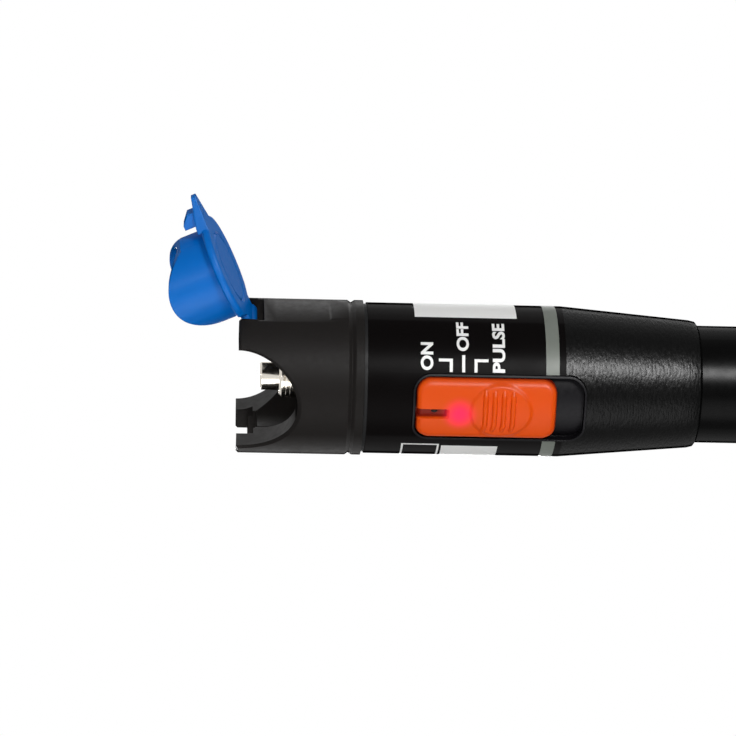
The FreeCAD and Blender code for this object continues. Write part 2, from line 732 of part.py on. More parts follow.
def board_rear_z():
    return BARREL_FRONT_Z + FIT_GAP + INSULATOR_THICK + CONTACT_TAB_THICK + BOARD_END_GAP


def circuit_board():
    half = BOARD_THICK / 2
    return at_switch(box((-BOARD_HALF_W, BOARD_HALF_W), (-half, half), (board_rear_z(), board_front_z())))


def board_carrier():
    """Moulded frame: two half rings against the tube and two grooved rails for the board."""
    top = at_depth(CARRIER_FRONT_DEPTH)
    low = top - CARRIER_LEN
    tube = ring(BOARD_HALF_W - 0.6, CARRIER_R, low, top)
    keep_rings = box((-FAR, FAR), (BOARD_THICK, FAR), (top - CARRIER_RING_LEN, top))
    keep_rings = keep_rings.fuse(box((-FAR, FAR), (BOARD_THICK, FAR), (low, low + CARRIER_RING_LEN)))
    rails = box((CARRIER_RAIL_IN, FAR), (-BOARD_THICK * 2, BOARD_THICK * 2), (low, top))
    rails = rails.fuse(box((-FAR, -CARRIER_RAIL_IN), (-BOARD_THICK * 2, BOARD_THICK * 2), (low, top)))
    carrier = tube.common(keep_rings.fuse(rails))
    half = BOARD_THICK / 2
    groove = box((-BOARD_HALF_W, BOARD_HALF_W), (-half, half), (low - 1, top + 1))
    return at_switch(carrier.cut(groove).removeSplitter())


def driver_chip():
    z = board_front_z() - CHIP_POS
    base = BOARD_THICK / 2
    body = box((-CHIP_W / 2, CHIP_W / 2), (base + CLIP_THICK, base + CHIP_H), (z - CHIP_LEN / 2, z + CHIP_LEN / 2))
    for number in range(4):
        leg_z = z + (number - 1.5) * CHIP_LEN / 4
        body = body.fuse(box((-CHIP_W * 0.77, CHIP_W * 0.77), (base, base + CLIP_THICK * 2),
                             (leg_z - CLIP_THICK / 2, leg_z + CLIP_THICK / 2)))
    return at_switch(body)


def board_parts():
    """Chip resistors in a row and an upright capacitor."""
    base = BOARD_THICK / 2
    parts = []
    for number in range(RESISTOR_COUNT):
        z = board_front_z() - CHIP_POS + CHIP_LEN - number * RESISTOR_PITCH
        x = BOARD_HALF_W / 2 + RESISTOR_LEN / 4
        parts.append(box((x - RESISTOR_LEN / 2, x + RESISTOR_LEN / 2), (base, base + RESISTOR_H),
                         (z - RESISTOR_W / 2, z + RESISTOR_W / 2)))
    z = board_front_z() - CAPACITOR_POS
    x = -BOARD_HALF_W / 4
    parts.append(Part.makeCylinder(CAPACITOR_R, CAPACITOR_H, V(x, base, z), V(0, 1, 0)))
    return at_switch(Part.makeCompound(parts))


def ground_clip():
    """Strip from the board to the wall of the collar."""
    z = board_rear_z() + CLIP_W
    base = BOARD_THICK / 2
    reach = math.sqrt((COLLAR_BORE_R - FIT_GAP) ** 2 - (base + 3 * CLIP_THICK) ** 2)
    flat = box((BOARD_HALF_W - CLIP_W, reach), (base, base + CLIP_THICK), (z - CLIP_W / 2, z + CLIP_W / 2))
    lip = box((reach - CLIP_THICK, reach), (base, base + 3 * CLIP_THICK), (z - CLIP_W / 2, z + CLIP_W / 2))
    return at_switch(flat.fuse(lip).removeSplitter())


# Collar, barrel, cells and tail

def tapered_collar():
    front = COLLAR_FRONT_Z
    neck = COLLAR_END_Z + COLLAR_NECK_LEN
    spigot_r = TUBE_IN_R - FIT_GAP
    bore = BARREL_R + BARREL_FIT_GAP
    shelf = BARREL_FRONT_Z + FIT_GAP + INSULATOR_THICK
    window_z = at_depth(TRAY_FRONT_DEPTH + TRAY_LEN) - 2 * FIT_GAP
    window_r = LABEL_R - (LABEL_R - COLLAR_END_R) * (front - window_z) / (front - neck)
    body = turned([
        (COLLAR_BORE_R, front + COLLAR_SPIGOT_LEN), (spigot_r, front + COLLAR_SPIGOT_LEN),
        (spigot_r, front), (LABEL_R, front), (window_r, window_z),
        *quarter_round(COLLAR_END_R, neck, COLLAR_END_R - bore - COLLAR_LIP, COLLAR_NECK_LEN, NECK_STEPS),
        (bore, COLLAR_END_Z), (bore, shelf), (COLLAR_BORE_R, shelf),
    ])
    return body.cut(tray_window(FIT_GAP))


def battery_barrel():
    shoulder = TAIL_LEN + TAIL_SEAM
    groove_top = shoulder - SEAL_POS
    groove_low = groove_top - SEAL_GROOVE_W
    return turned([
        (BARREL_BORE_R, BARREL_FRONT_Z), (BARREL_R, BARREL_FRONT_Z), (BARREL_R, shoulder), (NECK_R, shoulder),
        (NECK_R, groove_top), (SEAL_GROOVE_R, groove_top), (SEAL_GROOVE_R, groove_low), (NECK_R, groove_low),
        (NECK_R, BARREL_END_Z), (BARREL_BORE_R, BARREL_END_Z),
    ])


def tail_seal():
    """Square-section ring in the groove of the barrel's neck."""
    high = TAIL_LEN + TAIL_SEAM - SEAL_POS - (SEAL_GROOVE_W - SEAL_W) / 2
    return ring(SEAL_GROOVE_R, SEAL_GROOVE_R + SEAL_W, high - SEAL_W, high)


def cell(number):
    """AA cell with its raised positive end towards the head."""
    low = CELL_START_Z + number * (CELL_LEN + FIT_GAP)
    top = low + CELL_LEN
    shoulder = top - CELL_NUB_LEN
    return turned([(0, low), (CELL_R, low), (CELL_R, shoulder), (CELL_NUB_R, shoulder), (CELL_NUB_R, top), (0, top)])


def contact_insulator():
    low = BARREL_FRONT_Z + FIT_GAP
    return ring(CONTACT_SHANK_R + STUB_GAP, BARREL_R, low, low + INSULATOR_THICK)


def front_contact():
    """Rivet through the insulator and the tab that is soldered to the board."""
    low = BARREL_FRONT_Z + FIT_GAP
    top = low + INSULATOR_THICK
    base = BOARD_THICK / 2
    rivet = rod(CONTACT_HEAD_R, low - CONTACT_HEAD_LEN, low).fuse(rod(CONTACT_SHANK_R, low, top))
    half = CONTACT_TAB_W / 2
    foot = box((-half, half), (-base, base + CONTACT_TAB_THICK), (top, top + CONTACT_TAB_THICK))
    tab = box((-half, half), (base, base + CONTACT_TAB_THICK), (top, board_rear_z() + CONTACT_TAB_LEN))
    return at_switch(rivet.fuse(foot).fuse(tab).removeSplitter())


def tail_cap():
    body = turned([
        (0, 0), (BARREL_R - TAIL_CHAMFER, 0), (BARREL_R, TAIL_CHAMFER), (BARREL_R, TAIL_LEN),
        (TAIL_BORE_R, TAIL_LEN), (TAIL_BORE_R, TAIL_FLOOR), (0, TAIL_FLOOR),
    ])
    return body


def tail_plate():
    return rod(PLATE_R, TAIL_FLOOR, TAIL_FLOOR + PLATE_THICK)


def half_turn(start, end, radius):
    """Half turn of wire between two points on opposite sides of the pen's axis, with a four-sided section."""
    corners = [start + V(radius * math.cos(math.radians(90 * k)), 0, radius * math.sin(math.radians(90 * k)))
               for k in range(5)]
    across = end - start
    normal = V(-across.z, 0, across.x) * math.copysign(1, across.x)
    return Part.Face(Part.makePolygon(corners)).revolve((start + end) / 2, normal.normalize(), 180)


def tail_spring():
    """Conical coil between the tail plate and the rear cell, as half turns that share their end sections."""
    low = TAIL_FLOOR + PLATE_THICK + SPRING_WIRE_R
    rise = (SPRING_LEN - 2 * SPRING_WIRE_R) / SPRING_HALF_TURNS
    shrink = (SPRING_BASE_R - SPRING_TOP_R) / SPRING_HALF_TURNS
    spots = [V((-1) ** k * (SPRING_BASE_R - k * shrink), 0, low + k * rise) for k in range(SPRING_HALF_TURNS + 1)]
    coil = [half_turn(a, b, SPRING_WIRE_R) for a, b in zip(spots, spots[1:])]
    return coil[0].multiFuse(coil[1:])


NODES = {
    "head_shell": head_shell,
    "hinge_pin": hinge_pin,
    "flip_cap": flip_cap,
    "ferrule_holder": ferrule_holder,
    "split_sleeve": split_sleeve,
    "fibre_stub": fibre_stub,
    "holder_nut": holder_nut,
    "laser_barrel": laser_barrel,
    "laser_lens": laser_lens,
    "laser_diode": laser_diode,
    "body_tube": body_tube,
    "label_sleeve": label_sleeve,
    "switch_tray": switch_tray,
    "switch_button": switch_button,
    "switch_lever": switch_lever,
    "switch_block": switch_block,
    "indicator_led": indicator_led,
    "circuit_board": circuit_board,
    "board_carrier": board_carrier,
    "driver_chip": driver_chip,
    "board_parts": board_parts,
    "ground_clip": ground_clip,
    "tapered_collar": tapered_collar,
    "battery_barrel": battery_barrel,
    "tail_seal": tail_seal,
    "cell_rear": lambda: cell(0),
    "cell_front": lambda: cell(1),
    "contact_insulator": contact_insulator,
    "front_contact": front_contact,
    "tail_cap": tail_cap,
    "tail_plate": tail_plate,
    "tail_spring": tail_spring,
}

os.makedirs("parts", exist_ok=True)
for name, make in NODES.items():
    shape = make()
    if not shape.isValid() or not shape.Solids:
        raise ValueError(name + " is not a valid solid")
    print(name, len(shape.Solids), round(shape.Volume, 2), [round(v, 2) for v in (
        shape.BoundBox.XMin, shape.BoundBox.XMax, shape.BoundBox.YMin, shape.BoundBox.YMax,
        shape.BoundBox.ZMin, shape.BoundBox.ZMax)])
    shape.exportStep("parts/" + name + ".step")
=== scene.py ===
import json
import math

import bmesh
import bpy
from mathutils import Matrix, Vector


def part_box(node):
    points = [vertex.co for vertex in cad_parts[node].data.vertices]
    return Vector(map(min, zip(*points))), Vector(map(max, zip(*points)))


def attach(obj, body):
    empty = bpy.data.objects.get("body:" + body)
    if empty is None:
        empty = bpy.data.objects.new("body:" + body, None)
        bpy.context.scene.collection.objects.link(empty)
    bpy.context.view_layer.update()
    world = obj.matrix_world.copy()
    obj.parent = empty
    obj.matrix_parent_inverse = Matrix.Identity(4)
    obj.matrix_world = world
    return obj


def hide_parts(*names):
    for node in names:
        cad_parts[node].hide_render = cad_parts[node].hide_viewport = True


# Looks of a visual fault locator: a pen that sends red laser light into an optical fibre.
# The pen stands on its tail. +Z runs towards the mouth, the cap's hinge is on +X, and the
# slide switch is close to -Y. Lengths are metres; MM turns millimetres into metres.
# "depth" values are millimetres from the front rim towards the tail, and "turn" values are
# degrees round the pen from its top line, past the switch, to its underside.

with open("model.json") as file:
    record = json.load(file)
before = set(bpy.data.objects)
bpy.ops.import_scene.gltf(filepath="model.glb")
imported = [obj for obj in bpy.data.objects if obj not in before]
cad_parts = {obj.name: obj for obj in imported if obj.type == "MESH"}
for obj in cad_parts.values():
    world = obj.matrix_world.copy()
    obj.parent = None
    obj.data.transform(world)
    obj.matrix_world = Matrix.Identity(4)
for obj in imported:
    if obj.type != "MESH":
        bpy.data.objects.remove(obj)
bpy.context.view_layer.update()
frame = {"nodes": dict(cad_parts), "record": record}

MM = 0.001

# Places of the solids
RIM_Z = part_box("head_shell")[1].z
LABEL_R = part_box("label_sleeve")[1].x
BUTTON_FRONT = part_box("switch_button")[1].z
BUTTON_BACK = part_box("switch_button")[0].z

# How far the top line stands round from +X, and the button's middle line from -Y
TOP_LINE_DEG = 25.0
BUTTON_TURN_DEG = 1.5

# The slider's top surface, and the lamp under it
SLIDER_R = 13.35 * MM
LAMP_BEHIND_FRONT = 7.2 * MM
LAMP_SIDE = 0.5 * MM


def srgb(red, green, blue):
    """Linear colour with full alpha from 0-255 screen values."""
    linear = [v / 255 / 12.92 if v / 255 <= 0.04045 else ((v / 255 + 0.055) / 1.055) ** 2.4
              for v in (red, green, blue)]
    return (*linear, 1.0)


def at_depth(depth_mm):
    """Height of a place this far behind the front rim."""
    return RIM_Z - depth_mm * MM


def on_pen(radius, turn_deg, z):
    """Point at this radius and turn round the pen's axis."""
    angle = math.radians(TOP_LINE_DEG - turn_deg)
    return Vector((radius * math.cos(angle), radius * math.sin(angle), z))


def on_button(across, radius, z):
    """Point at this radius and this far sideways from the button's middle line."""
    turn = math.radians(BUTTON_TURN_DEG)
    y = -math.sqrt(radius ** 2 - across ** 2)
    return Vector((across * math.cos(turn) - y * math.sin(turn),
                   across * math.sin(turn) + y * math.cos(turn), z))


# Materials

# Noise runs from low to high over this span
NOISE_SPAN = (0.3, 0.7)
# A gloss keeps its face-on level up to here, and holds its shoulder level over this span
GLOSS_LEVEL_TO = 0.35
GLOSS_SHOULDER_SPAN = 0.12
SOFT_EDGE_SAMPLES = 6


class Finish:
    """A node material with a few named steps that build up its surface."""

    def __init__(self, name, colour, roughness, specular=0.5, metallic=0.0):
        self.material = bpy.data.materials.new(name)
        self.material.use_nodes = True
        self.nodes = self.material.node_tree.nodes
        self.links = self.material.node_tree.links
        self.surface = self.nodes["Principled BSDF"]
        self.set("Base Color", colour)
        self.set("Roughness", roughness)
        self.set("Specular IOR Level", specular)
        self.set("Metallic", metallic)
        self.place = self.nodes.new("ShaderNodeTexCoord").outputs["Object"]

    def set(self, socket, value):
        self.surface.inputs[socket].default_value = value

    def drive(self, socket, output):
        self.links.new(output, self.surface.inputs[socket])

    def stretched_place(self, scale):
        node = self.nodes.new("ShaderNodeMapping")
        node.inputs["Scale"].default_value = scale
        self.links.new(self.place, node.inputs["Vector"])
        return node.outputs["Vector"]

    def noise(self, scale, detail, stretch=(1, 1, 1)):
        node = self.nodes.new("ShaderNodeTexNoise")
        node.inputs["Scale"].default_value = scale
        node.inputs["Detail"].default_value = detail
        self.links.new(self.stretched_place(stretch), node.inputs["Vector"])
        return node.outputs["Fac"]

    def ramp(self, value, low, high, low_result, high_result, easing="LINEAR"):
        node = self.nodes.new("ShaderNodeMapRange")
        node.interpolation_type = easing
        for socket, number in (("From Min", low), ("From Max", high),
                               ("To Min", low_result), ("To Max", high_result)):
            node.inputs[socket].default_value = number
        self.links.new(value, node.inputs["Value"])
        return node.outputs["Result"]

    def rough_by(self, noise, low_rough, high_rough):
        self.drive("Roughness", self.ramp(noise, *NOISE_SPAN, low_rough, high_rough))

    def blend(self, value, first, second):
        """Mix of two colours, of which the first may be the result of another blend."""
        node = self.nodes.new("ShaderNodeMix")
        node.data_type = "RGBA"
        if isinstance(first, bpy.types.NodeSocket):
            self.links.new(first, node.inputs["A"])
        else:
            node.inputs["A"].default_value = first
        node.inputs["B"].default_value = second
        self.links.new(value, node.inputs["Factor"])
        return node.outputs["Result"]

    def relief(self, noise, depth, strength, edge_radius):
        """Fine surface relief of this depth, over edges softened to edge_radius."""
        bump = self.nodes.new("ShaderNodeBump")
        bump.inputs["Distance"].default_value = depth
        bump.inputs["Strength"].default_value = strength
        self.links.new(noise, bump.inputs["Height"])
        self.links.new(self.rounded_normal(edge_radius), bump.inputs["Normal"])
        self.drive("Normal", bump.outputs["Normal"])

    def gloss_fades(self, level, shoulder, start, end):
        """Gloss of a matt coat, by how far the surface turns away (0 face on, 1 edge on).

        It has one level face on and another at the shoulder, and goes out from start to end.
        """
        facing = self.nodes.new("ShaderNodeLayerWeight").outputs["Facing"]
        curve = self.nodes.new("ShaderNodeValToRGB")
        stops = curve.color_ramp.elements
        for place, value in ((GLOSS_LEVEL_TO, level), (start - GLOSS_SHOULDER_SPAN, shoulder),
                             (start, shoulder), (end, 0.0)):
            stop = stops.new(place)
            stop.color = (value, value, value, 1.0)
        stops.remove(stops[0])
        stops.remove(stops[-1])
        self.set("Specular IOR Level", level)
        self.links.new(facing, curve.inputs["Fac"])
        self.drive("Specular IOR Level", curve.outputs["Color"])

    def rounded_normal(self, radius):
        node = self.nodes.new("ShaderNodeBevel")
        node.samples = SOFT_EDGE_SAMPLES
        node.inputs["Radius"].default_value = radius
        return node.outputs["Normal"]

    def soft_edges(self, radius):
        self.drive("Normal", self.rounded_normal(radius))


def moulded_black():
    """Head: warm black plastic with a fine spark-eroded texture."""
    finish = Finish("moulded_black", srgb(30, 28, 27), roughness=0.5)
    finish.gloss_fades(level=0.02, shoulder=0.11, start=0.72, end=0.86)
    grain = finish.noise(scale=3200, detail=4)
    finish.relief(grain, depth=0.03 * MM, strength=0.35, edge_radius=0.25 * MM)
    finish.rough_by(finish.noise(scale=900, detail=2), 0.44, 0.54)
    return finish.material


def printed_film():
    """Label film: smooth black with a satin varnish."""
    finish = Finish("printed_film", srgb(12, 10, 10), roughness=0.34)
    finish.gloss_fades(level=0.006, shoulder=0.02, start=0.5, end=0.78)
    finish.rough_by(finish.noise(scale=260, detail=2), 0.31, 0.37)
    return finish.material


def turned_black():
    """Collar: black anodised metal with fine turning lines."""
    finish = Finish("turned_black", srgb(5, 5, 5), roughness=0.36)
    finish.gloss_fades(level=0.045, shoulder=0.045, start=0.5, end=0.78)
    lines = finish.noise(scale=1.0, detail=2, stretch=(1100, 1100, 2800))
    finish.relief(lines, depth=0.16 * MM, strength=0.45, edge_radius=0.12 * MM)
    finish.rough_by(lines, 0.26, 0.36)
    return finish.material


def drawn_black():
    """Barrel and tail: smooth black anodised metal."""
    finish = Finish("drawn_black", srgb(5, 5, 5), roughness=0.3)
    finish.gloss_fades(level=0.02, shoulder=0.03, start=0.5, end=0.78)
    finish.rough_by(finish.noise(scale=700, detail=3), 0.25, 0.31)
    finish.soft_edges(0.12 * MM)
    return finish.material


def tray_black():
    """Tray round the slider: plain black plastic."""
    finish = Finish("tray_black", srgb(15, 14, 17), roughness=0.38)
    finish.gloss_fades(level=0.05, shoulder=0.05, start=0.6, end=0.85)
    finish.rough_by(finish.noise(scale=1500, detail=3), 0.34, 0.44)
    finish.soft_edges(0.15 * MM)
    return finish.material


def cap_blue():
    """Cap: bright blue plastic."""
    finish = Finish("cap_blue", srgb(0, 106, 196), roughness=0.34)
    finish.gloss_fades(level=0.08, shoulder=0.03, start=0.55, end=0.85)
    finish.rough_by(finish.noise(scale=1200, detail=3), 0.33, 0.42)
    finish.soft_edges(0.3 * MM)
    return finish.material


BUTTON_COLOUR = srgb(224, 78, 8)
# Painted shade: the light slot's floor and the button's sunken rim are darkened towards this
# colour between these depths under the slider's top
PAINTED_SHADE_COLOUR = srgb(128, 26, 6)
PAINTED_SHADE_FROM = 0.8 * MM
PAINTED_SHADE_TO = 0.3 * MM
# Painted glow: the lamp's light through the plastic is painted on the button as pink colour and
# emission, fading out over this reach
PAINTED_GLOW_COLOUR = srgb(214, 20, 40)
PAINTED_GLOW_EMISSION = srgb(255, 40, 100)
PAINTED_GLOW_REACH = 3.7 * MM
PAINTED_GLOW_STRENGTH = 0.65


def button_orange(lamp):
    """Slider: soft orange plastic, with painted shade in its light slot and along its sunken rim,
    and a painted pink glow round the lamp under it.
    """
    finish = Finish("button_orange", BUTTON_COLOUR, roughness=0.42, specular=0.055)
    finish.set("Subsurface Weight", 0.06)
    finish.set("Subsurface Radius", (1.0 * MM, 0.4 * MM, 0.2 * MM))
    finish.set("Subsurface Scale", 1.0)
    finish.rough_by(finish.noise(scale=1600, detail=3), 0.38, 0.46)
    from_axis = finish.nodes.new("ShaderNodeVectorMath")
    from_axis.operation = "LENGTH"
    finish.links.new(finish.stretched_place((1, 1, 0)), from_axis.inputs[0])
    # Painted shade: parts that sink below the slider's top are darkened, as shade falls in the
    # slot and along the rim
    raised = finish.ramp(from_axis.outputs["Value"], SLIDER_R - PAINTED_SHADE_FROM,
                         SLIDER_R - PAINTED_SHADE_TO, 0.0, 1.0)
    body = finish.blend(raised, PAINTED_SHADE_COLOUR, BUTTON_COLOUR)
    # Painted glow round the lamp under the slider, as colour and emission
    reach = finish.nodes.new("ShaderNodeVectorMath")
    reach.operation = "DISTANCE"
    finish.links.new(finish.place, reach.inputs[0])
    reach.inputs[1].default_value = lamp
    painted_glow_share = finish.ramp(reach.outputs["Value"], PAINTED_GLOW_REACH, 0.0, 0.0, 1.0, easing="SMOOTHERSTEP")
    finish.drive("Base Color", finish.blend(painted_glow_share, body, PAINTED_GLOW_COLOUR))
    finish.set("Emission Color", PAINTED_GLOW_EMISSION)
    finish.drive("Emission Strength", finish.ramp(painted_glow_share, 0.0, 1.0, 0.0, PAINTED_GLOW_STRENGTH))
    return finish.material


def print_white():
    finish = Finish("print_white", srgb(238, 238, 236), roughness=0.4, specular=0.1)
    finish.rough_by(finish.noise(scale=900, detail=2), 0.36, 0.44)
    return finish.material


def print_grey():
    """Grey print that varies a little in shade."""
    finish = Finish("print_grey", srgb(120, 125, 118), roughness=0.38, specular=0.05)
    cloud = finish.ramp(finish.noise(scale=240, detail=2), *NOISE_SPAN, 0.0, 1.0)
    finish.drive("Base Color", finish.blend(cloud, srgb(116, 121, 114), srgb(124, 129, 122)))
    return finish.material


def plated_nickel():
    finish = Finish("plated_nickel", srgb(212, 206, 196), roughness=0.16, metallic=1.0)
    finish.rough_by(finish.noise(scale=1800, detail=3), 0.12, 0.22)
    finish.soft_edges(0.06 * MM)
    return finish.material


def lamp_red():
    finish = Finish("lamp_red", srgb(230, 30, 30), roughness=0.2)
    finish.rough_by(finish.noise(scale=700, detail=2), 0.15, 0.25)
    finish.set("Emission Color", srgb(255, 40, 60))
    finish.set("Emission Strength", 1.2)
    return finish.material


def plain(name, colour, low_rough, high_rough, metallic=0.0, specular=0.4):
    """Inner piece: one colour, with a roughness that varies a little."""
    roughness = (low_rough + high_rough) / 2
    finish = Finish(name, colour, roughness, specular=specular, metallic=metallic)
    finish.rough_by(finish.noise(scale=900, detail=2), low_rough, high_rough)
    return finish.material


MOULDED = moulded_black()
FILM = printed_film()
TURNED = turned_black()
DRAWN = drawn_black()
TRAY = tray_black()
CAP = cap_blue()
BUTTON = button_orange(on_button(-LAMP_SIDE, SLIDER_R, BUTTON_FRONT - LAMP_BEHIND_FRONT))
WHITE = print_white()
GREY = print_grey()
NICKEL = plated_nickel()
STEEL = plain("plain_steel", srgb(168, 168, 166), 0.28, 0.4, metallic=1.0)
BRASS = plain("turned_brass", srgb(196, 160, 92), 0.25, 0.38, metallic=1.0)
CERAMIC = plain("white_ceramic", srgb(228, 228, 222), 0.2, 0.3)
INNER = plain("inner_black", srgb(24, 24, 25), 0.5, 0.65, specular=0.06)
BOARD = plain("solder_mask", srgb(24, 92, 52), 0.3, 0.42)
CHIP = plain("chip_resin", srgb(36, 36, 38), 0.5, 0.62)
SEAL = plain("seal_rubber", srgb(26, 26, 27), 0.6, 0.75, specular=0.1)
JACKET = plain("cell_jacket", srgb(150, 153, 158), 0.25, 0.36)
LENS = plain("lens_glass", srgb(205, 214, 220), 0.05, 0.1)
LAMP = lamp_red()

NODE_LOOKS = {
    "head_shell": MOULDED, "hinge_pin": STEEL, "flip_cap": CAP, "ferrule_holder": NICKEL,
    "split_sleeve": CERAMIC, "fibre_stub": CERAMIC, "holder_nut": BRASS, "laser_barrel": BRASS,
    "laser_lens": LENS, "laser_diode": STEEL, "body_tube": INNER, "label_sleeve": FILM,
    "switch_tray": TRAY, "switch_button": BUTTON, "switch_lever": INNER, "switch_block": STEEL,
    "indicator_led": LAMP, "circuit_board": BOARD, "board_carrier": INNER, "driver_chip": CHIP,
    "board_parts": CHIP, "ground_clip": STEEL, "tapered_collar": TURNED, "battery_barrel": DRAWN,
    "tail_seal": SEAL, "cell_rear": JACKET, "cell_front": JACKET, "contact_insulator": INNER,
    "front_contact": BRASS, "tail_cap": DRAWN, "tail_plate": BRASS, "tail_spring": STEEL,
}
for node, look in NODE_LOOKS.items():
    frame["nodes"][node].data.materials.clear()
    frame["nodes"][node].data.materials.append(look)

BODY_OF = {node: body for body, members in frame["record"]["behaviour"]["bodies"].items()
           for node in members}


# Pieces

def linked(name, data):
    thing = bpy.data.objects.new(name, data)
    bpy.context.scene.collection.objects.link(thing)
    return thing


def piece(name, mesh, look, body):
    """Object at the origin that holds this mesh and rides on a body."""
    thing = linked(name, mesh)
    mesh.materials.clear()
    mesh.materials.append(look)
    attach(thing, body)
    return thing


def mesh_from(bm, name):
    mesh = bpy.data.meshes.new(name)
    bm.normal_update()
    bm.to_mesh(mesh)
    bm.free()
    return mesh


def smooth_by_angle(bm, degrees):
    """Smooth faces, with sharp edges kept where two faces meet at more than this angle."""
    limit = math.radians(degrees)
    for face in bm.faces:
        face.smooth = True
    for edge in bm.edges:
        edge.smooth = len(edge.link_faces) == 2 and edge.calc_face_angle(0.0) < limit


WELD_GAP = 1e-7
SKINNED = ("head_shell", "flip_cap", "ferrule_holder", "label_sleeve", "switch_tray",
           "tapered_collar", "battery_barrel", "tail_cap", "split_sleeve", "hinge_pin",
           "body_tube", "tail_seal", "tail_spring", "cell_front", "cell_rear", "tail_plate")


def skin_of(node):
    """Welded, smooth-shaded copy of a CAD node that is shown in its place."""
    bm = bmesh.new()
    bm.from_mesh(frame["nodes"][node].data)
    bmesh.ops.remove_doubles(bm, verts=bm.verts, dist=WELD_GAP)
    smooth_by_angle(bm, degrees=24)
    name = node + "_skin"
    skin = piece(name, mesh_from(bm, name), NODE_LOOKS[node], BODY_OF[node])
    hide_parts(node)


for node in SKINNED:
    skin_of(node)


# Slider of the switch

BUTTON_HALF_W = 5.41 * MM
BUTTON_CORNER = 2.45 * MM
BUTTON_EDGE = 1.15 * MM
UNDER_R = 11.8 * MM
BUTTON_ROWS = 184
BUTTON_COLUMNS = 88
RIM_SEARCH_STEPS = 24
PAD_MIDDLE = 14.0 * MM
PAD_HALF_LEN = 5.4 * MM
PAD_HALF_W = 4.95 * MM
PAD_RISE = 0.32 * MM
PAD_SLOPE_FROM = 0.86
SLOT_LEN = 5.6 * MM
SLOT_HALF_W = 0.75 * MM
SLOT_CUT = 0.9 * MM
SLOT_SIDE_SLOPE = 0.1 * MM
SLOT_END_SLOPE = 0.9 * MM


def eased(value, low, high):
    """0 below low, 1 above high, with a smooth run between them."""
    t = min(max((value - low) / (high - low), 0.0), 1.0)
    return t * t * (3 - 2 * t)


def inside_rounded(along, across, half_len):
    """Distance from a point to the button's rounded outline, positive inside."""
    dx = abs(along) - (half_len - BUTTON_CORNER)
    dy = abs(across) - (BUTTON_HALF_W - BUTTON_CORNER)
    outside = math.hypot(max(dx, 0.0), max(dy, 0.0)) + min(max(dx, dy), 0.0)
    return BUTTON_CORNER - outside


def button_height(back, across, half_len):
    """Height over SLIDER_R, by the distance behind the front and beside the middle."""
    edge = max(inside_rounded(back - half_len, across, half_len), 0.0)
    height = 0.0
    if edge < BUTTON_EDGE:
        height -= BUTTON_EDGE - math.sqrt(BUTTON_EDGE ** 2 - (BUTTON_EDGE - edge) ** 2)
    pad = math.hypot((back - PAD_MIDDLE) / PAD_HALF_LEN, across / PAD_HALF_W)
    height += PAD_RISE * (1 - eased(pad, PAD_SLOPE_FROM, 1.0))
    beside = abs(across + LAMP_SIDE)
    cut = 1 - eased(beside, SLOT_HALF_W - SLOT_SIDE_SLOPE, SLOT_HALF_W + SLOT_SIDE_SLOPE)
    cut *= 1 - eased(back, SLOT_LEN - SLOT_END_SLOPE, SLOT_LEN)
    return height - SLOT_CUT * cut


def pulled_in(u, v, half_len):
    """Place on the button for a place on the square from -1 to 1, with rounded corners."""
    along, across = u * half_len, v * BUTTON_HALF_W
    outer = max(abs(u), abs(v))
    if outer == 0:
        return along, across
    rim_along, rim_across = along / outer, across / outer
    low, high = 0.0, 1.0
    for _ in range(RIM_SEARCH_STEPS):
        middle = (low + high) / 2
        inside = inside_rounded(rim_along * middle, rim_across * middle, half_len) > 0
        low, high = (middle, high) if inside else (low, middle)
    pull = 1 - (1 - low) * outer ** 3
    return along * pull, across * pull


def slider_button():
    """Curved button with a rounded rim, a raised thumb pad and a light slot at its front."""
    half_len = (BUTTON_FRONT - BUTTON_BACK) / 2
    rows, columns = BUTTON_ROWS, BUTTON_COLUMNS
    bm = bmesh.new()
    top, under = [], []
    for i in range(rows + 1):
        for j in range(columns + 1):
            along, across = pulled_in(2 * i / rows - 1, 2 * j / columns - 1, half_len)
            back = along + half_len
            radius = SLIDER_R + button_height(back, across, half_len)
            top.append(bm.verts.new(on_button(across, radius, BUTTON_FRONT - back)))
            under.append(bm.verts.new(on_button(across, UNDER_R, BUTTON_FRONT - back)))

    def spot(grid, i, j):
        return grid[i * (columns + 1) + j]

    for i in range(rows):
        for j in range(columns):
            for grid, turn in ((top, False), (under, True)):
                corners = [spot(grid, i, j), spot(grid, i + 1, j),
                           spot(grid, i + 1, j + 1), spot(grid, i, j + 1)]
                bm.faces.new(corners[::-1] if turn else corners)
    border = [(i, 0) for i in range(rows)] + [(rows, j) for j in range(columns)]
    border += [(i, columns) for i in range(rows, 0, -1)] + [(0, j) for j in range(columns, 0, -1)]
    for here, there in zip(border, border[1:] + border[:1]):
        bm.faces.new([spot(top, *there), spot(top, *here),
                      spot(under, *here), spot(under, *there)])
    bmesh.ops.recalc_face_normals(bm, faces=bm.faces)
    smooth_by_angle(bm, degrees=40)
    mesh = mesh_from(bm, "slider_button")
    button = piece("slider_button", mesh, BUTTON, "slider")
    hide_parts("switch_button")


slider_button()

# A dark blob in the light slot stands in for the shade inside a hole: painted shade
HOLE_BEHIND_FRONT = 3.0 * MM
HOLE_ACROSS = -0.1 * MM
HOLE_SUNK = 0.55 * MM
HOLE_HALF_W = 0.3 * MM
HOLE_HALF_LEN = 0.55 * MM


